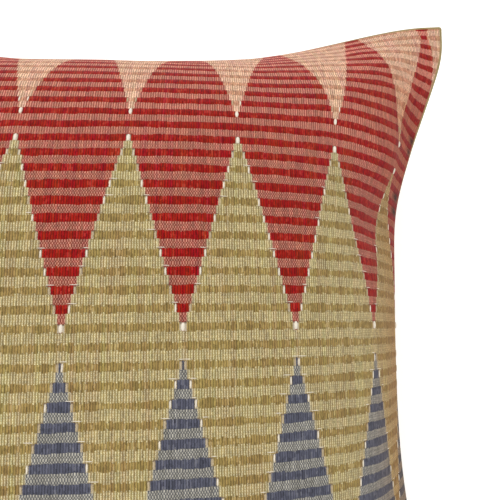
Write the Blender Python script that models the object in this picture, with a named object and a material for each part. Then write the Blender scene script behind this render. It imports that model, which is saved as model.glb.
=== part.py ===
"""A filled square cushion lying on its back: two equal panels sewn at a knife edge and blown out by the filling."""

import math

import bmesh
import bpy
import numpy as np

# The cover, laid flat before it is filled
HALF_PANEL = 0.225

# How the filling rounds each panel
SEAM_SLOPE = math.radians(87.0)
CROWN_FLATNESS = 2.2
CORNER_FULLNESS = 0.6
CORNER_PULL = 0.02

# The two cloths where the seam joins them
SEAM_THICKNESS = 0.0016

# The flat that the cushion's own weight presses into its back
REST_FLAT_DEPTH = 0.007

# The gathers along each side: place along the seam from -1 to 1, half width, and depth
GATHERS = (
    (-0.74, 0.050, 0.0030),
    (-0.52, 0.045, 0.0022),
    (-0.21, 0.060, 0.0016),
    (0.12, 0.055, 0.0016),
    (0.43, 0.045, 0.0024),
    (0.66, 0.050, 0.0034),
)
GATHER_REACH = 5.0

# Where the sewing and the filling pull the cloth sideways at one corner, and at the opposite one:
# place across and along from -1 to 1, reach, and shift to the right and up
PULLS = (
    (1.00, 0.45, 0.17, -0.0040, -0.0021),
    (0.78, 0.78, 0.17, 0.0047, 0.0025),
    (0.20, 1.00, 0.28, 0.0003, 0.0023),
    (1.00, 0.66, 0.10, -0.0026, -0.0045),
    (0.78, 0.35, 0.10, -0.0037, -0.0016),
    (0.78, 0.55, 0.10, 0.0052, -0.0029),
    (1.00, 0.90, 0.10, 0.0020, -0.0005),
    (0.62, 0.66, 0.10, 0.0029, 0.0014),
)

# How quickly the back's own pulls fade away from its seam
BACK_HOLD = 6

# The mesh: cells from the middle to a seam, and finer steps in each cell for the sums
CELLS = 20
STEPS = 8

FACE_COLOUR = (0.37, 0.24, 0.15, 1.0)
FACE_ROUGHNESS = 0.95


def steps_along():
    """Places from the middle of a panel, 0, to its seam, 1."""
    return np.linspace(0.0, 1.0, CELLS * STEPS + 1)


def running_sum(values):
    """The integral from 0 of values sampled at steps_along, down the first axis."""
    middle = (values[1:] + values[:-1]) / 2 / (CELLS * STEPS)
    start = np.zeros_like(values[:1])
    return np.concatenate([start, np.cumsum(middle, axis=0)])


def crown(place):
    """Height of the middle section in half panels, from a slope that grows towards the seam."""
    rise = running_sum(np.sin(SEAM_SLOPE * place**CROWN_FLATNESS))
    return rise[-1] - rise


def quarter():
    """X, Y and height of a quarter panel. The cloth keeps its length along both threads."""
    place = steps_along()
    section = crown(place)
    share = section / section[0]
    corner = np.outer(1 - share, 1 - share)
    height = section[0] * np.outer(share, share) * (1 + CORNER_FULLNESS * corner)
    slope = np.gradient(height, place, axis=0)
    reach = running_sum(np.sqrt(np.maximum(1 - slope**2, 0.0)))
    reach *= 1 - CORNER_PULL * np.outer(place**2, place**2)
    return reach * HALF_PANEL, reach.T * HALF_PANEL, height * HALF_PANEL


def sampled(table, across, along):
    """The value of a quarter's table at a place in the whole panel, both from -1 to 1."""
    column = round(abs(across) * CELLS * STEPS)
    row = round(abs(along) * CELLS * STEPS)
    return float(table[column, row])


def gathered(across, along):
    """How deep the gathers of the seams press in at this place."""
    depth = 0.0
    for near, off in ((across, along), (along, across)):
        rim = abs(near) ** GATHER_REACH * (1 - abs(near) ** (2 * GATHER_REACH))
        for middle, width, most in GATHERS:
            depth += most * rim * math.exp(-(((off - middle) / width) ** 2))
    return depth


def pulled(across, along, side):
    """How far the cloth is pulled sideways at this place. The back keeps still away from its seam."""
    x, y = 0.0, 0.0
    hold = 1.0 if side > 0 else max(abs(across), abs(along)) ** BACK_HOLD
    for corner in (1, -1):
        for near, off, reach, right, up in PULLS:
            away = math.hypot(corner * across - near, corner * along - off) / reach
            share = corner * hold * math.exp(-(away**2))
            x += right * share
            y += up * share
    return x, y


def formed(across, along, side, tables, most):
    """The place in space of a point of the front panel, side 1, or of the back one, side -1."""
    shift = pulled(across, along, side)
    x = math.copysign(sampled(tables[0], across, along), across) + shift[0]
    y = math.copysign(sampled(tables[1], across, along), along) + shift[1]
    height = sampled(tables[2], across, along)
    height = max(height - gathered(across, along), height / 3) + SEAM_THICKNESS / 2
    seam_level = most + SEAM_THICKNESS / 2 - REST_FLAT_DEPTH
    if side > 0:
        return x, y, seam_level + height
    return x, y, max(seam_level - height, 0.0)


def add_panel(bm, side, tables):
    most = float(tables[2][0, 0])
    sheet = bmesh.ops.create_grid(bm, x_segments=2 * CELLS, y_segments=2 * CELLS, size=1.0)
    for vertex in sheet["verts"]:
        vertex.co = formed(vertex.co.x, vertex.co.y, side, tables, most)
    if side < 0:
        faces = list({face for vertex in sheet["verts"] for face in vertex.link_faces})
        bmesh.ops.reverse_faces(bm, faces=faces)


def sew_rims(bm):
    """A narrow strip between the two panels' rims, all the way round."""
    rims = [edge for edge in bm.edges if edge.is_boundary]
    bmesh.ops.bridge_loops(bm, edges=rims)


def face_material():
    material = bpy.data.materials.new("woven_cover")
    material.use_nodes = True
    shader = material.node_tree.nodes["Principled BSDF"]
    shader.inputs["Base Color"].default_value = FACE_COLOUR
    shader.inputs["Roughness"].default_value = FACE_ROUGHNESS
    shader.inputs["Metallic"].default_value = 0.0
    return material


def add_cushion():
    mesh = bpy.data.meshes.new("cushion")
    bm = bmesh.new()
    tables = quarter()
    for side in (1, -1):
        add_panel(bm, side, tables)
    sew_rims(bm)
    bmesh.ops.triangulate(bm, faces=bm.faces)
    for face in bm.faces:
        face.smooth = True
    bm.to_mesh(mesh)
    bm.free()
    mesh.materials.append(face_material())
    cushion = bpy.data.objects.new("cushion", mesh)
    bpy.context.scene.collection.objects.link(cushion)


def main():
    for item in list(bpy.data.objects):
        bpy.data.objects.remove(item)
    add_cushion()


main()
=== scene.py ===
"""A filled square cushion in a ribbed tapestry weave of tall interlocking diamonds, lying on its back."""

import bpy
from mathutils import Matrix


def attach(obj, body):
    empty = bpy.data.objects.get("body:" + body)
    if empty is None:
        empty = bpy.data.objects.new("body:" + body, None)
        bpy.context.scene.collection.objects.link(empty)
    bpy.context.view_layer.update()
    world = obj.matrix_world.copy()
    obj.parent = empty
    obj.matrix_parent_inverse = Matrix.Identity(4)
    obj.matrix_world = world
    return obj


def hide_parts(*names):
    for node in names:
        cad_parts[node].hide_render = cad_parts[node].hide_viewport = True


bl_info = {
    "name": "Diamond tapestry cushion",
    "version": (1, 0, 0),
    "blender": (4, 5, 0),
    "location": "View3D > Sidebar > Cushion",
    "description": "Builds a plump woven cushion over its solid, with the threads of its weave",
    "category": "Object",
}

import math
import random

import bmesh
import bpy
import numpy as np
from mathutils import Color, Euler, Matrix, Vector

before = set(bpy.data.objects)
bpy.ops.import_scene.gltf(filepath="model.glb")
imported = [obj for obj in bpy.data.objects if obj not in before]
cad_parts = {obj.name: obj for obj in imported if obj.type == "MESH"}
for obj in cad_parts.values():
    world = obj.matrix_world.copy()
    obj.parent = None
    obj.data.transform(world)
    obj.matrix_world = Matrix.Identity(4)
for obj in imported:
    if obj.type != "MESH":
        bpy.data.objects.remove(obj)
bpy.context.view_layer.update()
COVER_NAME = "woven_cover"
FLAT_MAP = "cloth"
FLAT_KEY = "flat"
FLAT_LAYER = "flat_place"
SEAM_GROUP = "seam"
HOLD_GROUP = "hold"


def linear(red, green, blue):
    """A colour named by its screen values, 0 to 255, as the light that the shaders work in."""
    values = []
    for part in (red, green, blue):
        level = part / 255
        values.append(level / 12.92 if level <= 0.04045 else ((level + 0.055) / 1.055) ** 2.4)
    return values


def length(name, words, default, low=0.0):
    return bpy.props.FloatProperty(
        name=name,
        description=words,
        default=default,
        min=low,
        subtype="DISTANCE",
        unit="LENGTH",
        precision=5,
    )


def angle(name, words, degrees):
    return bpy.props.FloatProperty(
        name=name, description=words, default=math.radians(degrees), subtype="ANGLE", unit="ROTATION"
    )


def number(name, words, default, low=-10.0, high=100.0):
    return bpy.props.FloatProperty(name=name, description=words, default=default, min=low, max=high)


def colour(name, words, default):
    return bpy.props.FloatVectorProperty(
        name=name, description=words, default=default, size=3, min=0.0, max=1.0, subtype="COLOR"
    )


class CoverSettings(bpy.types.PropertyGroup):
    """The sizes of the filled cover."""

    half_panel: length("Half panel", "Half the side of the cover laid flat", 0.225)
    seam_slope: angle("Slope at the seam", "How steeply a panel meets the middle of a side seam", 87)
    crown_flatness: number("Crown flatness", "How much the rounding keeps to the sides", 2.2)
    corner_fullness: number("Corner fullness", "How much filling reaches the corners", 0.6)
    corner_pull: number("Corner pull", "How far the corners draw in", 0.02)
    seam_thickness: length("Seam thickness", "The two cloths where they are sewn", 0.0016)
    rest_flat_depth: length("Resting flat", "How far the back is pressed flat", 0.007)
    cells: bpy.props.IntProperty(
        name="Cells", description="Cells across a panel", default=100, min=20, max=160
    )
    most_move: length("Most move", "How far the settling cloth may move from its form", 0.008)


class WeaveSettings(bpy.types.PropertyGroup):
    """The repeat and the colours of the weave."""

    column: length("Column width", "Width of a diamond", 0.0530)
    rib: length("Rib pitch", "From one rib to the next", 0.00836)
    shift_across: length("Shift across", "The middle column from the middle of the panel", 0.0082, -1.0)
    shift_along: length("Shift along", "The middle rib from the middle of the panel", 0.0075, -1.0)
    turn: angle("Turn", "How far the weave runs off the seams", 1.75)
    dense_upright: number("Dense band, upright", "Share of a rib under long threads, red and slate", 0.49)
    dense_ground: number("Dense band, ground", "Share of a rib under long threads, olive and peach", 0.42)
    red: colour("Red", "Long threads of the red diamonds", linear(146, 22, 12))
    red_light: colour("Red, light", "Crossing threads of the red diamonds", linear(212, 146, 124))
    olive: colour("Olive", "Long threads of the olive diamonds", linear(150, 126, 74))
    olive_light: colour("Olive, light", "Crossing threads of the olive diamonds", linear(212, 199, 156))
    slate: colour("Slate", "Long threads of the slate diamonds", linear(82, 83, 96))
    slate_light: colour("Slate, light", "Crossing threads of the slate diamonds", linear(192, 187, 172))
    peach: colour("Peach", "Long threads of the peach diamonds", linear(190, 136, 108))
    peach_light: colour("Peach, light", "Crossing threads of the peach diamonds", linear(248, 210, 180))
    float_white: colour("Pale floats", "Short pale threads at the colour joins", linear(244, 234, 216))
    # Painted shade: a darker copy of the pale float colour, for floats that lie deeper
    float_in_painted_shade: colour("Dull floats", "Short threads that lie deeper at the joins", linear(196, 176, 142))
    # Painted shadow: a dark mark for the shade in the small gap at the upper end of each join
    painted_notch_shadow: colour("Notches", "The shade at the upper end of a join", linear(72, 34, 20))
    # Painted shade: a warm darker tint of the cloth beside the upright seams, where the sides turn away from
    # the light
    painted_side_shade: colour("Side shade", "Tint of the cloth beside the upright seams", (0.84, 0.62, 0.46))
    back_cloth: colour("Back cloth", "Plain cloth of the back and the seam", linear(156, 138, 92))


class StageSettings(bpy.types.PropertyGroup):
    """The floor, the light and the camera."""

    floor_colour: colour("Floor", "Colour of the floor", (0.92, 0.92, 0.92))
    key_light: number("Key light", "Power of the large soft light", 7.0)
    sky_light: number("Surrounding light", "Strength of the light from all round", 0.95)
    lens: number("Lens", "Focal length in millimetres, on a 36 mm frame", 42.1)
    camera_place: bpy.props.FloatVectorProperty(
        name="Camera place",
        description="Where the camera stands, from the middle of the seam",
        default=(0.0759, 0.0106, 0.3531),
        size=3,
        subtype="XYZ",
        unit="LENGTH",
    )
    camera_turn: bpy.props.FloatVectorProperty(
        name="Camera turn",
        description="The camera's angles",
        default=[math.radians(degrees) for degrees in (9.06, -3.19, 0.60)],
        size=3,
        subtype="EULER",
        unit="ROTATION",
    )


# Finer steps in each cell of the mesh, for the sums that form a panel
STEPS = 4

# How firmly the settling cloth keeps to its form: at least, and in the middle of a panel
LEAST_HOLD = 0.05
MIDDLE_HOLD = 0.6

# The powers by which the hold fades from the middle and grows to a corner, and the seam's shrinking
# grows to the seam
MIDDLE_HOLD_POWER = 3
CORNER_HOLD_POWER = 6
SEAM_POWER = 24

# The settling: its steps, the cloth's weight, stiffness and damping, and the push of the filling
SETTLE_FRAMES = 24
SETTLE_QUALITY = 6
CLOTH_MASS = 0.3
THREAD_STIFFNESS = 120
SHEAR_STIFFNESS = 8
BENDING_STIFFNESS = 1.5
THREAD_DAMPING = 20
AIR_DAMPING = 4
FILLING_PRESSURE = 4
HOLD_STIFFNESS = 4
SEAM_SHRINK = 0.05

# The gathers along each side: place along the seam from -1 to 1, half width, and depth
GATHERS = (
    (-0.74, 0.050, 0.0030),
    (-0.52, 0.045, 0.0022),
    (-0.21, 0.060, 0.0016),
    (0.12, 0.055, 0.0016),
    (0.43, 0.045, 0.0024),
    (0.66, 0.050, 0.0034),
)
GATHER_REACH = 5.0

# Where the sewing and the filling pull the cloth sideways at one corner, and at the opposite one:
# place across and along from -1 to 1, reach, and shift to the right and up
PULLS = (
    (1.00, 0.45, 0.17, -0.0040, -0.0021),
    (0.78, 0.78, 0.17, 0.0047, 0.0025),
    (0.20, 1.00, 0.28, 0.0003, 0.0023),
    (1.00, 0.66, 0.10, -0.0026, -0.0045),
    (0.78, 0.35, 0.10, -0.0037, -0.0016),
    (0.78, 0.55, 0.10, 0.0052, -0.0029),
    (1.00, 0.90, 0.10, 0.0020, -0.0005),
    (0.62, 0.66, 0.10, 0.0029, 0.0014),
)

# How quickly the back's own pulls fade away from its seam
BACK_HOLD = 6


def running_sum(values, count):
    """The integral from 0 of evenly sampled values, down the first axis."""
    middle = (values[1:] + values[:-1]) / 2 / count
    return np.concatenate([np.zeros_like(values[:1]), np.cumsum(middle, axis=0)])


def quarter(settings):
    """X, Y and height over a quarter panel. The cloth keeps its length along both threads."""
    count = settings.cells // 2 * STEPS
    place = np.linspace(0.0, 1.0, count + 1)
    rise = running_sum(np.sin(settings.seam_slope * place**settings.crown_flatness), count)
    section = rise[-1] - rise
    part = section / section[0]
    corner = np.outer(1 - part, 1 - part)
    height = section[0] * np.outer(part, part) * (1 + settings.corner_fullness * corner)
    slope = np.gradient(height, place, axis=0)
    reach = running_sum(np.sqrt(np.maximum(1 - slope**2, 0.0)), count)
    reach *= 1 - settings.corner_pull * np.outer(place**2, place**2)
    return [table * settings.half_panel for table in (reach, reach.T, height)]


def seam_level(settings, tables):
    return float(tables[2][0, 0]) + settings.seam_thickness / 2 - settings.rest_flat_depth


def form_panel(verts, side, settings, tables, flat_layer, group_layer):
    """Moves a flat sheet to its filled form and remembers where each point lay in the flat cloth."""
    level = seam_level(settings, tables)
    fine = settings.cells // 2 * STEPS
    for vertex in verts:
        across, along = vertex.co.x, vertex.co.y
        column, row = round(abs(across) * fine), round(abs(along) * fine)
        x = math.copysign(tables[0][column, row], across)
        y = math.copysign(tables[1][column, row], along)
        height = tables[2][column, row] + settings.seam_thickness / 2
        z = level + height if side > 0 else max(level - height, 0.0)
        flat = Vector((across, along, side * settings.seam_thickness / 2 / settings.half_panel))
        vertex[flat_layer] = flat * settings.half_panel
        rim = max(abs(across), abs(along))
        corner = (abs(across) * abs(along)) ** CORNER_HOLD_POWER
        middle = MIDDLE_HOLD * (1 - rim**MIDDLE_HOLD_POWER)
        vertex[group_layer][0] = rim**SEAM_POWER
        vertex[group_layer][1] = max(LEAST_HOLD, middle, corner)
        vertex.co = (x, y, z)


def cover_mesh(settings):
    """Two sheets in their filled form, joined round the rim. A layer and a UV map keep their flat places."""
    tables = quarter(settings)
    bm = bmesh.new()
    flat_layer = bm.verts.layers.float_vector.new(FLAT_LAYER)
    group_layer = bm.verts.layers.deform.new()
    for side in (1, -1):
        sheet = bmesh.ops.create_grid(bm, x_segments=settings.cells, y_segments=settings.cells, size=1.0)
        faces = list({face for vertex in sheet["verts"] for face in vertex.link_faces})
        form_panel(sheet["verts"], side, settings, tables, flat_layer, group_layer)
        if side < 0:
            bmesh.ops.reverse_faces(bm, faces=faces)
        for face in faces:
            face.material_index = 0 if side > 0 else 1
    rims = [edge for edge in bm.edges if edge.is_boundary]
    strip = bmesh.ops.bridge_loops(bm, edges=rims)["faces"]
    for face in strip:
        face.material_index = 1
    uv = bm.loops.layers.uv.new(FLAT_MAP)
    span = 2 * settings.half_panel
    for face in bm.faces:
        face.smooth = True
        for loop in face.loops:
            place = loop.vert[flat_layer]
            loop[uv].uv = (0.5 + place.x / span, 0.5 + place.y / span)
    mesh = bpy.data.meshes.new(COVER_NAME)
    bm.to_mesh(mesh)
    bm.free()
    return mesh


def coordinates(mesh):
    values = np.empty(len(mesh.vertices) * 3, np.float32)
    mesh.vertices.foreach_get("co", values)
    return values.reshape(-1, 3).astype(np.float64)


def set_coordinates(mesh, place):
    mesh.vertices.foreach_set("co", place.astype(np.float32).ravel())
    mesh.update()


def flat_places(mesh):
    """Where each point lay in the flat cloth, as one row of numbers."""
    values = np.empty(len(mesh.vertices) * 3, np.float32)
    mesh.attributes[FLAT_LAYER].data.foreach_get("vector", values)
    return values


def add_cloth(cover, flat_key):
    """The cloth of the cover, cut to its flat size and pushed out by the filling."""
    cloth = cover.modifiers.new("settle", "CLOTH")
    push = cloth.settings
    push.rest_shape_key = flat_key
    push.quality = SETTLE_QUALITY
    push.mass = CLOTH_MASS
    push.tension_stiffness = push.compression_stiffness = THREAD_STIFFNESS
    push.shear_stiffness = SHEAR_STIFFNESS
    push.bending_stiffness = BENDING_STIFFNESS
    push.tension_damping = push.compression_damping = THREAD_DAMPING
    push.air_damping = AIR_DAMPING
    push.use_pressure = True
    push.uniform_pressure_force = FILLING_PRESSURE
    push.vertex_group_mass = HOLD_GROUP
    push.pin_stiffness = HOLD_STIFFNESS
    push.vertex_group_shrink = SEAM_GROUP
    push.shrink_min = 0.0
    push.shrink_max = SEAM_SHRINK
    push.effector_weights.gravity = 0.0
    cloth.collision_settings.use_collision = False
    cloth.point_cache.frame_start = 1
    cloth.point_cache.frame_end = SETTLE_FRAMES
    return cloth


def settle(cover, settings):
    """Lets the cloth take up its flat length under the push of the filling, then keeps the result."""
    start = coordinates(cover.data)
    cover.shape_key_add(name="filled")
    flat_key = cover.shape_key_add(name=FLAT_KEY)
    flat_key.data.foreach_set("co", flat_places(cover.data))
    flat_key.value = 0.0
    cloth = add_cloth(cover, flat_key)
    for step in range(1, SETTLE_FRAMES + 1):
        bpy.context.scene.frame_set(step)
    settled = coordinates(cover.evaluated_get(bpy.context.evaluated_depsgraph_get()).data)
    cover.modifiers.remove(cloth)
    cover.shape_key_clear()
    bpy.context.scene.frame_set(1)

    move = settled - start
    far = np.linalg.norm(move, axis=1, keepdims=True)
    move *= np.minimum(1.0, settings.most_move / np.maximum(far, 1e-9))
    place = start + move
    place[start[:, 2] <= 0.0, 2] = 0.0
    place[:, 2] = np.maximum(place[:, 2], 0.0)
    set_coordinates(cover.data, place)


def press_gathers(place, across, along, front, settings):
    """Presses in the gathers, by two thirds of the cloth's height at most. The resting flat stays flat."""
    depth = np.zeros(len(place))
    for near, off in ((across, along), (along, across)):
        rim = np.abs(near) ** GATHER_REACH * (1 - np.abs(near) ** (2 * GATHER_REACH))
        for middle, width, most in GATHERS:
            depth += most * rim * np.exp(-(((off - middle) / width) ** 2))
    level = seam_level(settings, quarter(settings))
    height = np.maximum(np.abs(place[:, 2] - level) - settings.seam_thickness / 2, 0.0)
    depth = np.minimum(depth, height * 2 / 3)
    resting = place[:, 2] <= 0.0
    place[:, 2] += np.where(front, -depth, np.where(resting, 0.0, depth))


def pull_aside(place, across, along, front):
    """Pulls the cloth sideways at one corner and at the opposite one."""
    hold = np.where(front, 1.0, np.maximum(np.abs(across), np.abs(along)) ** BACK_HOLD)
    for corner in (1, -1):
        for near, off, reach, right, up in PULLS:
            away = np.hypot(corner * across - near, corner * along - off) / reach
            weight = corner * hold * np.exp(-(away**2))
            place[:, 0] += right * weight
            place[:, 1] += up * weight


def pucker(cover, settings):
    """Presses in the gathers along the seams and pulls the cloth sideways where it is pulled."""
    place = coordinates(cover.data)
    flat = flat_places(cover.data).reshape(-1, 3).astype(np.float64)
    across, along = flat[:, 0] / settings.half_panel, flat[:, 1] / settings.half_panel
    front = flat[:, 2] > 0
    press_gathers(place, across, along, front, settings)
    pull_aside(place, across, along, front)
    set_coordinates(cover.data, place)


def name_groups(cover):
    for name in (SEAM_GROUP, HOLD_GROUP):
        cover.vertex_groups.new(name=name)


def finish_piece(piece, *nodes):
    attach(piece, "root")
    if nodes:
        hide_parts(*nodes)


WHITE = (1.0, 1.0, 1.0, 1.0)

# The dry, soft finish of cotton, and the floor's
COTTON = {
    "Roughness": 0.92,
    "Sheen Weight": 0.06,
    "Sheen Roughness": 0.5,
    "Specular IOR Level": 0.12,
}
FLOOR_FINISH = {
    "Roughness": 0.9,
    "Specular IOR Level": 0.1,
    "Emission Color": WHITE,
    "Emission Strength": 0.35,
}


class Nodes:
    """Shader nodes of one material, with short calls for sums."""

    def __init__(self, name):
        self.material = bpy.data.materials.new(name)
        self.material.use_nodes = True
        self.tree = self.material.node_tree
        self.shader = self.tree.nodes["Principled BSDF"]

    def link(self, source, socket):
        """Puts a number, a colour or another node's output on a socket."""
        if isinstance(source, (int, float)):
            socket.default_value = source
        elif isinstance(source, (tuple, list, Color)):
            opaque = len(source) == 3 and len(socket.default_value) == 4
            socket.default_value = (*source, 1.0) if opaque else source
        else:
            self.tree.links.new(source, socket)

    def fill(self, values, sockets):
        for value, socket in zip(values, sockets):
            self.link(value, socket)

    def sum(self, kind, *values, clamp=False):
        node = self.tree.nodes.new("ShaderNodeMath")
        node.operation = kind
        node.use_clamp = clamp
        self.fill(values, node.inputs)
        return node.outputs[0]

    def plus(self, first, second):
        return self.sum("ADD", first, second)

    def minus(self, first, second):
        return self.sum("SUBTRACT", first, second)

    def product(self, first, second):
        return self.sum("MULTIPLY", first, second)

    def quotient(self, first, second):
        return self.sum("DIVIDE", first, second)

    def line(self, value, slope, start):
        """A value times a slope, on top of a start."""
        return self.sum("MULTIPLY_ADD", value, slope, start)

    def size(self, value):
        """A number without its sign."""
        return self.sum("ABSOLUTE", value)

    def square(self, value):
        return self.sum("POWER", value, 2.0)

    def floor(self, value):
        return self.sum("FLOOR", value)

    def wave(self, value, pace):
        return self.sum("SINE", self.product(value, pace))

    def equals(self, value, whole):
        """1 where a whole number is this one, and 0 elsewhere."""
        return self.sum("COMPARE", value, whole, 0.1)

    def smooth(self, value, low, high):
        """A soft step from 0 at the low value to 1 at the high one."""
        node = self.tree.nodes.new("ShaderNodeMapRange")
        node.interpolation_type = "SMOOTHSTEP"
        self.fill((value, low, high, 0.0, 1.0), node.inputs)
        return node.outputs[0]

    def blend(self, factor, first, second):
        """A number between two others."""
        node = self.tree.nodes.new("ShaderNodeMix")
        node.data_type = "FLOAT"
        self.fill((factor, first, second), (node.inputs[0], node.inputs[2], node.inputs[3]))
        return node.outputs[0]

    def mix(self, factor, first, second, kind="MIX"):
        """A colour between two others, or one tinted by another."""
        node = self.tree.nodes.new("ShaderNodeMix")
        node.data_type = "RGBA"
        node.blend_type = kind
        self.fill((factor, first, second), (node.inputs[0], node.inputs[6], node.inputs[7]))
        return node.outputs[2]

    def scale(self, tint, value):
        """A colour made lighter or darker by a number."""
        node = self.tree.nodes.new("ShaderNodeVectorMath")
        node.operation = "SCALE"
        self.link(tint, node.inputs[0])
        self.link(value, node.inputs["Scale"])
        return node.outputs[0]

    def tone(self, tint, value, hue=0.5):
        """A colour with its brightness changed, and its hue turned where it isn't a half."""
        node = self.tree.nodes.new("ShaderNodeHueSaturation")
        self.link(hue, node.inputs["Hue"])
        self.link(value, node.inputs["Value"])
        self.link(tint, node.inputs["Color"])
        return node.outputs[0]

    def flat_place(self):
        """How far across and along the flat cloth a place lies, 0 to 1."""
        node = self.tree.nodes.new("ShaderNodeUVMap")
        node.uv_map = FLAT_MAP
        place = self.tree.nodes.new("ShaderNodeSeparateXYZ")
        self.link(node.outputs[0], place.inputs[0])
        return place.outputs[0], place.outputs[1]

    def join(self, x, y):
        node = self.tree.nodes.new("ShaderNodeCombineXYZ")
        self.fill((x, y), node.inputs)
        return node.outputs[0]

    def noise(self, vector, scale, detail=2.0):
        node = self.tree.nodes.new("ShaderNodeTexNoise")
        self.link(vector, node.inputs["Vector"])
        node.inputs["Scale"].default_value = scale
        node.inputs["Detail"].default_value = detail
        return node.outputs[0]

    def drift(self, x, y, pace, detail=2.0):
        """A soft random value over the cloth, and how quickly it changes across and along."""
        place = self.join(self.product(x, pace[0]), self.product(y, pace[1]))
        return self.noise(place, 1.0, detail)

    def white(self, x, y):
        """A random value for each pair of whole numbers."""
        node = self.tree.nodes.new("ShaderNodeTexWhiteNoise")
        node.noise_dimensions = "2D"
        self.link(self.join(x, y), node.inputs["Vector"])
        return node.outputs["Value"]

    def bump(self, height, distance, strength):
        node = self.tree.nodes.new("ShaderNodeBump")
        node.inputs["Distance"].default_value = distance
        node.inputs["Strength"].default_value = strength
        self.link(height, node.inputs["Height"])
        self.link(node.outputs[0], self.shader.inputs["Normal"])

    def finish(self, values):
        """Sets plain values on the shader's own sockets."""
        for name, value in values.items():
            self.shader.inputs[name].default_value = value


# The repeat, counted in ribs from the top seam, and which of its turns are slate and on olive
DIAMOND_RIBS = 26
MIDDLE_RIB = 20
TOP_RIB = -6
HALF_DIAMOND = DIAMOND_RIBS / 2
SLATE_REPEAT = 1
OLIVE_TURN = 1

# How much a diamond narrows with each rib, and the ribs beside its widest one that stay full
OLIVE_TAPER = (0.0856, 0.55)
PEACH_TAPER = (0.0735, 0.65)

# The widest rib, where neighbours touch: its half height in ribs, and how far they overlap
WIDEST_HALF = 0.8
WIDEST_LAP = 0.1

# The strip of pale floats beside a diamond, in columns
FLOAT_WIDTH = 0.020

# The last diamond by the right seam starts a little lower and further in than its neighbours
LATE_COLUMN = 3.5
LATE_UNTIL = 4.0
LATE_RIBS = 2.0
LATE_SHIFT = 0.07

# Threads in a column's width, crossing threads in a rib, and half a rib's own part of its pitch
THREADS = 44
WEFTS = 8.0
RIB_HALF = 0.23

# How hand-laid ribs and threads wander: the pace across and along, and the reach
RIB_PACE = (4.2, 2.7)
RIB_REACH = 0.22
THREAD_PACE = (20.0, 9.0)
THREAD_REACH = 0.012

# Streaks and strands in a thread, the pieces of a streak in a rib, where they start, and their share
STREAKS = 1.4
STRANDS = 1.2
STREAK_PIECES = 5.0
STREAK_STARTS = 7.0
PIECE_SHARE = 0.6

# Slow changes of tone: the pace across and along, and how finely they break up
STRAND_PACE = (0.55, 0.16)
STRAND_DETAIL = 1.0
PATCH_PACE = (2.0, 0.3)
PATCH_DETAIL = 3.0

# Soft steps: where each starts and where it is full
JOIN_STEP = (-0.005, 0.005)
BAND_STEP = (-0.02, 0.02)
GAP_STEP = (0.1, 0.75)
GLINT_STEP = (0.65, 0.9)
UPPER_STEP = (12.0, 5.0)
TOP_STEP = (4.0, -3.0)
OFFSET_DOT_STEP = (-0.1, 0.45)
UPPER_DOT_STEP = (-0.4, 0.6)
GROUND_DOT_STEP = (-0.35, 0.6)
ROW_STEP = (0.15, 0.75)
NOTCH_STEP = (0.03, 0.1)

# What changes from the ground to the upright diamonds: by how much, and what it is on the ground
RAGGED = (-0.07, 0.12)
STREAK_CONTRAST = (0.1, 0.75)
GLINT = (-0.12, 0.2)
UNDER_TONE = (-0.2, 0.62)
UNDER_LIGHT = (0.12, 0.1)
STRAND_CONTRAST = (0.1, 0.25)
HUE_SPREAD = (-0.02, 0.05)

# What changes with a value from 0 to 1: by how much, and what it is at 0
# Painted shade in the gaps between the long threads of the dense bands
GAP_PAINTED_SHADE = (0.5, 0.62)
ROW_SHARE = (0.6, 0.35)
OVER_TONE = (0.3, 0.86)
LOWER_TONE = (-0.16, 1.02)
STRAND_TONE = (0.2, 0.91)
PATCH_TONE = (0.16, 0.92)
PALE_SHARE = (-0.35, 0.45)

# Single amounts in the open bands and at the joins
OFFSET_LEAN = 0.3
UPPER_DOT_SHARE = 0.75
DOT_CONTRAST = 0.5
OPEN_TONE = 1.02
# How much painted sheen lightens the open bands by the top seam, where the face is seen at a grazing angle
TOP_PAINTED_SHEEN = 0.3
# How dark the painted shadow at the upper end of a join is
NOTCH_SHADE = 0.7

# Relief of the face: the dense band's round back, its threads, the crossings, and depth and share
RIDGE_HEIGHT = 0.7
THREAD_HEIGHT = 0.45
CROSSING_HEIGHT = 0.5
FACE_RELIEF = (0.0006, 0.8)

# Near a seam, 0 in the middle and 1 at the seam: the painted warm shade beside the upright seams,
# where the sides turn away from the light, its fading towards their ends, and the turned edge of
# the cloth
SIDE_STEP = (0.64, 0.92)
SIDE_END_STEP = (0.86, 0.6)
EDGE_STEP = (0.987, 0.992)

# Painted shadows of small tuck folds by one upright seam and, turned half round, by the other,
# painted on the colour only: place across and along from 0 to 1, their reach both ways, and how
# dark they are
TUCK_SHADOWS = (
    (0.975, 0.640, 0.022, 0.012, 0.85),
    (0.975, 0.604, 0.022, 0.010, 0.80),
    (0.945, 0.455, 0.032, 0.013, 0.90),
    (0.950, 0.415, 0.032, 0.012, 0.90),
)

# The plain back cloth: its thread, paler crossings, slubs, patches, and the depth and share of relief
BACK_THREAD = 0.0016
BACK_PALE = 1.7
BACK_STEP = (-0.6, 0.6)
SLUB_PACE = (30.0, 400.0)
SLUB_TONE = (0.9, 0.55)
BACK_PATCH_PACE = (9.0, 9.0)
BACK_PATCH_DETAIL = 4.0
BACK_PATCH_TONE = (0.3, 0.85)
BACK_RELIEF = (0.0004, 0.7)

# The pale threads: flecks to a metre, how dark a fleck is, and the depth and share of relief
FLECK_SCALE = 900.0
FLECK_TONE = 0.75
FLECK_RELIEF = (0.0002, 0.6)


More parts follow.
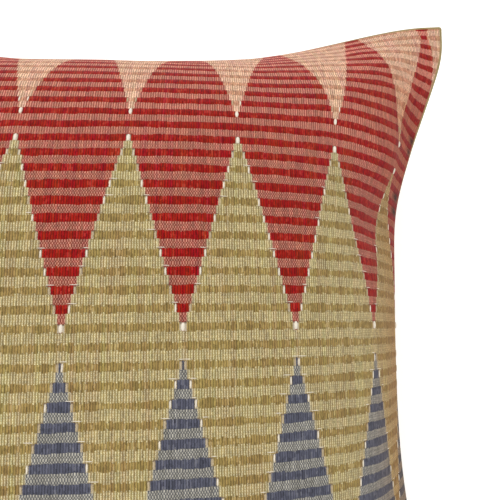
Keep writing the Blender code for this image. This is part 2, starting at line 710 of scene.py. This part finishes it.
def pattern_place(nodes, weave, panel):
    """Column and rib coordinates of the repeat at a place in the flat cloth."""
    across, along = nodes.flat_place()
    x = nodes.line(across, 2 * panel, -panel)
    y = nodes.line(along, 2 * panel, -panel)
    cos, sin = math.cos(weave.turn), math.sin(weave.turn)
    right = nodes.plus(nodes.product(x, cos), nodes.product(y, sin))
    up = nodes.minus(nodes.product(y, cos), nodes.product(x, sin))
    column = nodes.quotient(nodes.minus(right, weave.shift_across), weave.column)
    ribs_up = nodes.quotient(nodes.minus(up, weave.shift_along), weave.rib)
    return column, nodes.minus(MIDDLE_RIB, ribs_up)


def wandering(nodes, value, drift, reach):
    """A value moved by a drift, half of the reach either way."""
    return nodes.plus(value, nodes.line(drift, reach, -reach / 2))


def uneven(nodes, column, rib):
    """The small wandering of hand-laid ribs and threads."""
    rib = wandering(nodes, rib, nodes.drift(column, rib, RIB_PACE), RIB_REACH)
    column = wandering(nodes, column, nodes.drift(column, rib, THREAD_PACE), THREAD_REACH)
    return column, rib


def nearest_band(nodes, rib):
    """The whole rib, the distance from its middle, and the band: whole on a rib and a half between."""
    whole = nodes.floor(nodes.plus(rib, 0.5))
    off = nodes.minus(rib, whole)
    between = nodes.sum("GREATER_THAN", nodes.size(off), RIB_HALF)
    half_step = nodes.product(nodes.product(nodes.sum("SIGN", off), between), 0.5)
    return whole, off, nodes.plus(whole, half_step)


def late_start(nodes, column, band):
    """The repeat's place, moved where the last diamond starts lower and further in."""
    late = nodes.sum("GREATER_THAN", column, LATE_COLUMN)
    late = nodes.product(late, nodes.sum("LESS_THAN", band, LATE_UNTIL))
    column = nodes.plus(column, nodes.product(late, LATE_SHIFT))
    return column, nodes.minus(band, nodes.product(late, LATE_RIBS))


def diamond_masks(nodes, column, band):
    """Where the upright diamonds are, where their pale edges are, and which colour each zone has."""
    column, band = late_start(nodes, column, band)
    phase = nodes.quotient(nodes.minus(band, TOP_RIB), DIAMOND_RIBS)
    repeat = nodes.floor(phase)
    olive_ground = nodes.equals(nodes.floor(nodes.plus(phase, 0.5)), OLIVE_TURN)
    ribs_away = nodes.size(nodes.line(nodes.minus(phase, repeat), DIAMOND_RIBS, -HALF_DIAMOND))
    widths = []
    for taper, full in (PEACH_TAPER, OLIVE_TAPER):
        past = nodes.sum("MAXIMUM", nodes.minus(ribs_away, full), 0.0)
        widths.append(nodes.line(past, -taper / 2, 0.5))
    widest = nodes.sum("LESS_THAN", ribs_away, WIDEST_HALF)
    wide = nodes.plus(nodes.blend(olive_ground, *widths), nodes.product(widest, WIDEST_LAP))
    from_middle = nodes.size(nodes.minus(column, nodes.sum("ROUND", column)))
    upright = nodes.smooth(nodes.minus(wide, from_middle), *JOIN_STEP)
    rim = nodes.smooth(nodes.minus(nodes.plus(wide, FLOAT_WIDTH), from_middle), *JOIN_STEP)
    slate = nodes.equals(repeat, SLATE_REPEAT)
    return upright, nodes.minus(rim, upright), slate, olive_ground


def zone_colours(nodes, weave, upright, slate, olive_ground):
    """The colour of the long threads and that of the crossing threads, zone by zone."""
    deep = nodes.mix(
        upright,
        nodes.mix(olive_ground, weave.peach, weave.olive),
        nodes.mix(slate, weave.red, weave.slate),
    )
    light = nodes.mix(
        upright,
        nodes.mix(olive_ground, weave.peach_light, weave.olive_light),
        nodes.mix(slate, weave.red_light, weave.slate_light),
    )
    return deep, light


def streak_values(nodes, thread, rib, whole):
    """Random values of the long threads: one for each in a rib, and one that changes along it."""
    streak = nodes.floor(nodes.product(thread, STREAKS))
    whole_value = nodes.white(streak, whole)
    start = nodes.product(nodes.white(streak, 0.5), STREAK_STARTS)
    piece = nodes.floor(nodes.line(rib, STREAK_PIECES, start))
    return whole_value, nodes.blend(PIECE_SHARE, whole_value, nodes.white(streak, piece))


def dense_width(nodes, weave, upright):
    """Half the height of a dense band, in ribs."""
    share = nodes.line(upright, weave.dense_upright - weave.dense_ground, weave.dense_ground)
    return nodes.product(share, 0.5)


def open_bands(nodes, off, half_band, upright, whole_value):
    """Where the open bands are, with an uneven edge from thread to thread."""
    ragged = nodes.product(nodes.minus(whole_value, 0.5), nodes.line(upright, *RAGGED))
    past = nodes.minus(nodes.plus(nodes.size(off), ragged), half_band)
    return nodes.smooth(past, *BAND_STEP)


def dense_cloth(nodes, upright, gap, streak_value, deep, light):
    """The dense bands: long threads side by side, each in its own tone, with painted shade in the gaps
    between them, and a painted glint on a few of them.
    """
    contrast = nodes.line(upright, *STREAK_CONTRAST)
    tone = nodes.line(nodes.minus(streak_value, 0.5), contrast, 1.0)
    threads = nodes.scale(deep, nodes.product(nodes.line(gap, *GAP_PAINTED_SHADE), tone))
    glint = nodes.product(nodes.smooth(streak_value, *GLINT_STEP), nodes.line(upright, *GLINT))
    return nodes.mix(glint, threads, light)


def pale_dots(nodes, upright, upper, warp_wave, weft_wave):
    """Where pale crossing threads lie on top: offset dots, or upright rows of them higher up."""
    crossing = nodes.product(warp_wave, weft_wave)
    offset_dot = nodes.smooth(nodes.line(warp_wave, OFFSET_LEAN, crossing), *OFFSET_DOT_STEP)
    upper_dot = nodes.product(nodes.smooth(warp_wave, *UPPER_DOT_STEP), UPPER_DOT_SHARE)
    rows = nodes.line(nodes.smooth(nodes.size(weft_wave), *ROW_STEP), *ROW_SHARE)
    ground_dot = nodes.product(nodes.smooth(warp_wave, *GROUND_DOT_STEP), rows)
    return nodes.blend(upright, ground_dot, nodes.blend(upper, offset_dot, upper_dot))


def open_cloth(nodes, upright, dot, dot_value, strand_value, deep, light):
    """The open bands: pale threads over deep ones, each dot and each strand in its own tone."""
    under_tone = nodes.line(dot_value, DOT_CONTRAST, nodes.line(upright, *UNDER_TONE))
    under = nodes.mix(nodes.line(upright, *UNDER_LIGHT), nodes.scale(deep, under_tone), light)
    over = nodes.scale(light, nodes.line(dot_value, *OVER_TONE))
    by_strand = nodes.product(nodes.minus(strand_value, 0.5), nodes.line(upright, *STRAND_CONTRAST))
    return nodes.scale(nodes.mix(dot, under, over), nodes.plus(by_strand, OPEN_TONE))


def open_tone_and_painted_sheen(nodes, upright, upper, rib):
    """How light the open bands of the upright diamonds are: lighter by the top seam, a painted sheen where
    the face is seen at a grazing angle, and less low down.
    """
    top_sheen = nodes.product(upright, nodes.smooth(rib, *TOP_STEP))
    lower = nodes.product(upright, nodes.minus(1.0, upper))
    return nodes.line(top_sheen, TOP_PAINTED_SHEEN, nodes.line(lower, *LOWER_TONE))


def slow_changes(nodes, cloth, upright, strand, patch):
    """The cloth with its slow changes of hue and tone."""
    hue = nodes.line(nodes.minus(strand, 0.5), nodes.line(upright, *HUE_SPREAD), 0.5)
    shade = nodes.product(nodes.line(strand, *STRAND_TONE), nodes.line(patch, *PATCH_TONE))
    return nodes.tone(cloth, shade, hue)


def drawn_joins(nodes, weave, cloth, joins, open_band, from_top):
    """The pale edge of each stepped join on olive, and a painted shadow at its upper end."""
    pale = nodes.product(joins, nodes.line(open_band, *PALE_SHARE))
    cloth = nodes.mix(pale, cloth, weave.float_white)
    # Painted shadow at the upper end of each join
    painted_notch_shadow = nodes.minus(1.0, nodes.smooth(nodes.size(from_top), *NOTCH_STEP))
    return nodes.mix(nodes.product(joins, nodes.product(painted_notch_shadow, NOTCH_SHADE)), cloth, weave.painted_notch_shadow)


def near_seam(nodes):
    """How near any seam and an upright one are, 0 to 1, and the way along the upright one, -1 to 1."""
    across, along = [nodes.line(value, 2.0, -1.0) for value in nodes.flat_place()]
    side = nodes.size(across)
    way = nodes.product(along, nodes.sum("SIGN", across))
    return nodes.sum("MAXIMUM", side, nodes.size(along)), side, way


def tuck_shadows(nodes, side_place, way):
    """How dark the painted shadows of the small tuck folds are at a place."""
    dark = 0.0
    for near, off, wide, tall, most in TUCK_SHADOWS:
        across = nodes.square(nodes.quotient(nodes.minus(side_place, near), wide))
        along = nodes.square(nodes.quotient(nodes.minus(way, off), tall))
        fade = nodes.sum("EXPONENT", nodes.product(nodes.plus(across, along), -1.0))
        dark = nodes.line(fade, most, dark)
    return dark


def seam_shades(nodes, weave, cloth):
    """The cloth with painted warm shade on its upright sides, painted shadows of small tuck folds in them,
    and the turned edge.
    """
    rim_place, side_place, way = near_seam(nodes)
    # Painted shade: the sides darker and warmer, fading towards the ends of the seams
    side = nodes.smooth(side_place, *SIDE_STEP)
    side = nodes.product(side, nodes.smooth(nodes.size(way), *SIDE_END_STEP))
    cloth = nodes.mix(side, cloth, weave.painted_side_shade, "MULTIPLY")
    # Painted shadows of small tuck folds: only the colour is darkened, the folds are not modelled
    cloth = nodes.scale(cloth, nodes.minus(1.0, tuck_shadows(nodes, side_place, way)))
    return nodes.mix(nodes.smooth(rim_place, *EDGE_STEP), cloth, weave.back_cloth)


def face_relief(nodes, open_band, band_place, gap, crossing):
    """Raises the dense bands as rounded backs with their threads, and the crossings a little."""
    ridge = nodes.sum("SUBTRACT", 1.0, nodes.square(band_place), clamp=True)
    dense = nodes.plus(nodes.product(ridge, RIDGE_HEIGHT), nodes.product(gap, THREAD_HEIGHT))
    opened = nodes.product(nodes.size(crossing), CROSSING_HEIGHT)
    nodes.bump(nodes.blend(open_band, dense, opened), *FACE_RELIEF)


def woven_face(weave, panel):
    """The face cloth: stepped diamonds, dense and open bands, crossing threads and their relief."""
    nodes = Nodes("woven_face")
    column, rib = uneven(nodes, *pattern_place(nodes, weave, panel))
    whole, off, band = nearest_band(nodes, rib)
    upright, rim, slate, olive_ground = diamond_masks(nodes, column, band)
    deep, light = zone_colours(nodes, weave, upright, slate, olive_ground)
    thread = nodes.product(column, THREADS)
    weft = nodes.product(rib, WEFTS)

    whole_value, streak_value = streak_values(nodes, thread, rib, whole)
    half_band = dense_width(nodes, weave, upright)
    open_band = open_bands(nodes, off, half_band, upright, whole_value)
    gap = nodes.smooth(nodes.size(nodes.wave(thread, math.pi)), *GAP_STEP)
    dense = dense_cloth(nodes, upright, gap, streak_value, deep, light)

    warp_wave = nodes.wave(thread, 2 * math.pi)
    weft_wave = nodes.wave(weft, math.pi)
    upper = nodes.smooth(rib, *UPPER_STEP)
    dot = pale_dots(nodes, upright, upper, warp_wave, weft_wave)
    single = nodes.floor(nodes.product(thread, STRANDS))
    dot_value = nodes.white(single, nodes.floor(weft))
    opened = open_cloth(nodes, upright, dot, dot_value, nodes.white(single, band), deep, light)
    opened = nodes.scale(opened, open_tone_and_painted_sheen(nodes, upright, upper, rib))

    strand = nodes.drift(thread, rib, STRAND_PACE, STRAND_DETAIL)
    patch = nodes.drift(column, rib, PATCH_PACE, PATCH_DETAIL)
    cloth = slow_changes(nodes, nodes.mix(open_band, dense, opened), upright, strand, patch)
    joins = nodes.product(rim, olive_ground)
    cloth = drawn_joins(nodes, weave, cloth, joins, open_band, nodes.plus(off, half_band))
    nodes.link(seam_shades(nodes, weave, cloth), nodes.shader.inputs["Base Color"])

    band_place = nodes.quotient(nodes.size(off), half_band)
    face_relief(nodes, open_band, band_place, gap, nodes.product(warp_wave, weft_wave))
    nodes.finish(COTTON)
    return nodes.material


def woven_back(weave, panel):
    """The plain cloth of the back: an even weave with slubs."""
    nodes = Nodes("plain_back")
    across, along = nodes.flat_place()
    threads = 2 * panel / BACK_THREAD
    crossing = nodes.product(nodes.wave(across, threads * math.pi), nodes.wave(along, threads * math.pi))
    slub = nodes.drift(across, along, SLUB_PACE)
    patch = nodes.drift(across, along, BACK_PATCH_PACE, BACK_PATCH_DETAIL)
    pale = [min(1.0, value * BACK_PALE) for value in weave.back_cloth]
    cloth = nodes.mix(nodes.smooth(crossing, *BACK_STEP), weave.back_cloth, pale)
    shade = nodes.product(nodes.line(slub, *SLUB_TONE), nodes.line(patch, *BACK_PATCH_TONE))
    nodes.link(nodes.tone(cloth, shade), nodes.shader.inputs["Base Color"])
    nodes.bump(nodes.plus(nodes.size(crossing), slub), *BACK_RELIEF)
    nodes.finish(COTTON)
    return nodes.material


def pale_thread(name, tint):
    """A short float of twisted cotton."""
    nodes = Nodes(name)
    where = nodes.tree.nodes.new("ShaderNodeTexCoord").outputs["Object"]
    fleck = nodes.noise(where, FLECK_SCALE)
    darker = [value * FLECK_TONE for value in tint]
    nodes.link(nodes.mix(fleck, darker, tint), nodes.shader.inputs["Base Color"])
    nodes.bump(fleck, *FLECK_RELIEF)
    nodes.finish(COTTON)
    return nodes.material


class CUSHION_OT_cover(bpy.types.Operator):
    """Build the filled cover from its two sewn panels"""

    bl_idname = "cushion.cover"
    bl_label = "Cover"

    def execute(self, context):
        settings = context.scene.cushion_cover
        weave = context.scene.cushion_weave
        cover = bpy.data.objects.new(COVER_NAME, cover_mesh(settings))
        context.scene.collection.objects.link(cover)
        name_groups(cover)
        settle(cover, settings)
        pucker(cover, settings)
        cover.data.materials.append(woven_face(weave, settings.half_panel))
        cover.data.materials.append(woven_back(weave, settings.half_panel))
        finer = cover.modifiers.new("finer", "SUBSURF")
        finer.levels = finer.render_levels = 1
        finer.uv_smooth = "PRESERVE_BOUNDARIES"
        finish_piece(cover, "cushion")
        return {"FINISHED"}


# The short threads at the joins: their sizes, how round they are, and how far they stand proud
FLOAT_HALF_WIDTH = 0.00036
FLOAT_HALF_LENGTH = 0.0020
TIP_HALF_WIDTH = 0.0009
FLOAT_ROUNDNESS = 0.8
FLOAT_LIFT = 0.0001

# Loose ends that lie across a join: how many there are, their size, and how far up a rib they lie
LOOSE_SHARE = 0.45
LOOSE_HALF_WIDTH = 0.00016
LOOSE_HALF_LENGTH = 0.0024
LOOSE_RISE = 0.3

# The least and the most of each random measure
FLOAT_SPREAD = (0.8, 1.05)
LOOSE_SPREAD = (0.5, 1.0)
LOOSE_BESIDE = (-0.02, 0.04)

# The ribs and columns that have threads, the share painted darker as if in shade, and how near the seam they
# go
FLOAT_RIBS = range(-2, 48)
FLOAT_COLUMNS = range(-5, 6)
SHADED_FLOAT_SHARE = 0.6
FLOAT_LIMIT = 0.985
THREAD_SEED = 7


def panel_surface(cover, settings):
    """The front panel's points as a grid over the flat cloth."""
    count = settings.cells + 1
    return coordinates(cover.data)[: count * count].reshape(count, count, 3)


def on_panel(grid, across, along):
    """The place in space and the two thread directions at a place in the flat front, from -1 to 1."""
    count = grid.shape[0] - 1
    x = min(max((across + 1) / 2 * count, 0.0), count - 1e-6)
    y = min(max((along + 1) / 2 * count, 0.0), count - 1e-6)
    i, j = int(x), int(y)
    fx, fy = x - i, y - j
    corners = [grid[j, i], grid[j, i + 1], grid[j + 1, i], grid[j + 1, i + 1]]
    place = corners[0] * (1 - fx) * (1 - fy) + corners[1] * fx * (1 - fy)
    place = place + corners[2] * (1 - fx) * fy + corners[3] * fx * fy
    right = (corners[1] - corners[0]) * (1 - fy) + (corners[3] - corners[2]) * fy
    up = (corners[2] - corners[0]) * (1 - fx) + (corners[3] - corners[1]) * fx
    return Vector(place), Vector(right).normalized(), Vector(up).normalized()


def core_half_width(rib):
    """Half the width of an upright diamond, the ribs to its widest one, and whether olive is beside it."""
    phase = (rib - TOP_RIB) / DIAMOND_RIBS
    olive = math.floor(phase + 0.5) == OLIVE_TURN
    taper, full = OLIVE_TAPER if olive else PEACH_TAPER
    ribs_away = abs((phase % 1.0) * DIAMOND_RIBS - HALF_DIAMOND)
    return 0.5 - taper / 2 * max(ribs_away - full, 0.0), ribs_away, olive


def join_spots(chance, column, rib, half, olive):
    """The threads at both edges of one diamond at a rib, with loose ends beside some of them on olive."""
    spots = []
    for side in (-1, 1):
        edge = column + side * (half + FLOAT_WIDTH / 2)
        spots.append((edge, rib, FLOAT_HALF_WIDTH, FLOAT_HALF_LENGTH * chance.uniform(*FLOAT_SPREAD)))
        if olive and chance.random() < LOOSE_SHARE:
            reach = chance.uniform(*LOOSE_SPREAD) * LOOSE_HALF_LENGTH
            beside = edge + side * chance.uniform(*LOOSE_BESIDE)
            spots.append((beside, rib - LOOSE_RISE, reach, LOOSE_HALF_WIDTH))
    return spots


def thread_spots(chance):
    """Column, rib, half width and half length of each short thread along the stepped joins."""
    spots = []
    for rib in FLOAT_RIBS:
        half, ribs_away, olive = core_half_width(rib)
        for column in FLOAT_COLUMNS:
            if ribs_away == HALF_DIAMOND - 1:
                spots.append((column, rib, TIP_HALF_WIDTH, FLOAT_HALF_LENGTH))
            elif ribs_away == 1:
                spots.append((column + 0.5, rib, TIP_HALF_WIDTH, FLOAT_HALF_LENGTH))
            elif olive and 2 <= ribs_away < HALF_DIAMOND - 1 or ribs_away == 2:
                spots += join_spots(chance, column, rib, half, olive)
    return spots


def thread_end():
    """One short rounded thread along Y, of unit half length and half width."""
    bm = bmesh.new()
    turn = Matrix.Rotation(math.pi / 2, 4, "X")
    bmesh.ops.create_uvsphere(bm, u_segments=8, v_segments=5, radius=1.0, matrix=turn)
    mesh = bpy.data.meshes.new("thread")
    bm.to_mesh(mesh)
    bm.free()
    return mesh


def flat_spot(column, rib, weave, panel):
    """A place in the repeat as a place in the flat panel, from -1 to 1."""
    cos, sin = math.cos(weave.turn), math.sin(weave.turn)
    right = column * weave.column + weave.shift_across
    up = (MIDDLE_RIB - rib) * weave.rib + weave.shift_along
    return (right * cos - up * sin) / panel, (right * sin + up * cos) / panel


def laid_thread(thread, grid, across, along, half_across, half_along):
    """A copy of the thread, in its size, lying on the face at a place in the flat panel."""
    place, side, way = on_panel(grid, across, along)
    out = side.cross(way).normalized()
    side = way.cross(out).normalized()
    turn = Matrix((side, way, out)).transposed().to_4x4()
    half_tall = min(half_across, half_along) * FLOAT_ROUNDNESS
    size = Matrix.Diagonal((half_across, half_along, half_tall, 1.0))
    piece = thread.copy()
    piece.transform(Matrix.Translation(place + out * FLOAT_LIFT) @ turn @ size)
    return piece


def floats_mesh(cover, settings, weave):
    """All the short threads of the face in one mesh."""
    grid = panel_surface(cover, settings)
    bm = bmesh.new()
    thread = thread_end()
    chance = random.Random(THREAD_SEED)
    for column, rib, half_across, half_along in thread_spots(chance):
        across, along = flat_spot(column, rib, weave, settings.half_panel)
        # Some narrow floats get the darker copy of the thread: painted shade
        in_shade = int(chance.random() < SHADED_FLOAT_SHARE and half_across < TIP_HALF_WIDTH)
        if max(abs(across), abs(along)) > FLOAT_LIMIT:
            continue
        piece = laid_thread(thread, grid, across, along, half_across, half_along)
        for polygon in piece.polygons:
            polygon.material_index = in_shade
        bm.from_mesh(piece)
        bpy.data.meshes.remove(piece)
    bpy.data.meshes.remove(thread)
    for face in bm.faces:
        face.smooth = True
    bmesh.ops.recalc_face_normals(bm, faces=bm.faces)
    mesh = bpy.data.meshes.new("pale_floats")
    bm.to_mesh(mesh)
    bm.free()
    return mesh


class CUSHION_OT_floats(bpy.types.Operator):
    """Lay the short pale threads along the stepped colour joins"""

    bl_idname = "cushion.floats"
    bl_label = "Pale floats"

    def execute(self, context):
        weave = context.scene.cushion_weave
        cover = bpy.data.objects.get(COVER_NAME)
        if cover is None:
            raise RuntimeError("the cover comes before its floats")
        mesh = floats_mesh(cover, context.scene.cushion_cover, weave)
        floats = bpy.data.objects.new("pale_floats", mesh)
        context.scene.collection.objects.link(floats)
        mesh.materials.append(pale_thread("pale_thread", weave.float_white))
        # The same thread in painted shade, for floats that lie deeper
        mesh.materials.append(pale_thread("shaded_thread", weave.float_in_painted_shade))
        finish_piece(floats)
        return {"FINISHED"}


# The floor's reach, the large soft light and where it points, and the camera's frame
FLOOR_HALF = 6.0
KEY_SIZE = 1.2
KEY_PLACE = (-0.7, 0.5, 1.3)
KEY_AIM = (0.05, 0.05)
CAMERA_FRAME = 36.0
NEAREST_VIEW = 0.01


def add_light(name, power, size, place, aim):
    lamp = bpy.data.lights.new(name, "AREA")
    lamp.energy = power
    lamp.shape = "SQUARE"
    lamp.size = size
    holder = bpy.data.objects.new(name, lamp)
    holder.location = place
    holder.rotation_euler = (Vector(aim) - Vector(place)).to_track_quat("-Z", "Y").to_euler()
    bpy.context.scene.collection.objects.link(holder)


def add_floor(settings):
    bm = bmesh.new()
    bmesh.ops.create_grid(bm, x_segments=1, y_segments=1, size=FLOOR_HALF)
    mesh = bpy.data.meshes.new("floor")
    bm.to_mesh(mesh)
    bm.free()
    floor = bpy.data.objects.new("floor", mesh)
    bpy.context.scene.collection.objects.link(floor)
    nodes = Nodes("pale_floor")
    nodes.link(settings.floor_colour, nodes.shader.inputs["Base Color"])
    nodes.finish(FLOOR_FINISH)
    mesh.materials.append(nodes.material)


def add_sky(strength):
    world = bpy.data.worlds.new("studio")
    world.use_nodes = True
    sky = world.node_tree.nodes["Background"]
    sky.inputs["Color"].default_value = WHITE
    sky.inputs["Strength"].default_value = strength
    bpy.context.scene.world = world


def add_camera(settings, level):
    camera = bpy.data.cameras.new("camera")
    camera.sensor_width = CAMERA_FRAME
    camera.lens = settings.lens
    camera.clip_start = NEAREST_VIEW
    holder = bpy.data.objects.new("camera", camera)
    holder.location = Vector(settings.camera_place) + Vector((0.0, 0.0, level))
    holder.rotation_euler = Euler(settings.camera_turn)
    bpy.context.scene.collection.objects.link(holder)
    bpy.context.scene.camera = holder


class CUSHION_OT_stage(bpy.types.Operator):
    """Set the pale floor, the soft light and the camera"""

    bl_idname = "cushion.stage"
    bl_label = "Stage"

    def execute(self, context):
        settings = context.scene.cushion_stage
        cover = context.scene.cushion_cover
        level = seam_level(cover, quarter(cover))
        add_floor(settings)
        add_sky(settings.sky_light)
        add_light("key", settings.key_light, KEY_SIZE, KEY_PLACE, (*KEY_AIM, level))
        add_camera(settings, level)
        context.scene.view_settings.view_transform = "Standard"
        return {"FINISHED"}


class CUSHION_PT_panel(bpy.types.Panel):
    """The cushion's sizes, colours and builders"""

    bl_idname = "CUSHION_PT_panel"
    bl_label = "Cushion"
    bl_space_type = "VIEW_3D"
    bl_region_type = "UI"
    bl_category = "Cushion"

    def draw(self, context):
        layout = self.layout
        for name in ("cushion_cover", "cushion_weave", "cushion_stage"):
            group = getattr(context.scene, name)
            box = layout.box()
            for key in group.bl_rna.properties.keys():
                if key not in ("rna_type", "name"):
                    box.prop(group, key)
        for operator in (CUSHION_OT_cover, CUSHION_OT_floats, CUSHION_OT_stage):
            layout.operator(operator.bl_idname)


CLASSES = (
    CoverSettings,
    WeaveSettings,
    StageSettings,
    CUSHION_OT_cover,
    CUSHION_OT_floats,
    CUSHION_OT_stage,
    CUSHION_PT_panel,
)


def register():
    for item in CLASSES:
        bpy.utils.register_class(item)
    bpy.types.Scene.cushion_cover = bpy.props.PointerProperty(type=CoverSettings)
    bpy.types.Scene.cushion_weave = bpy.props.PointerProperty(type=WeaveSettings)
    bpy.types.Scene.cushion_stage = bpy.props.PointerProperty(type=StageSettings)


def unregister():
    del bpy.types.Scene.cushion_cover
    del bpy.types.Scene.cushion_weave
    del bpy.types.Scene.cushion_stage
    for item in reversed(CLASSES):
        bpy.utils.unregister_class(item)


def main():
    register()
    bpy.ops.cushion.cover()
    bpy.ops.cushion.floats()
    bpy.ops.cushion.stage()


if __name__ == "__main__":
    main()
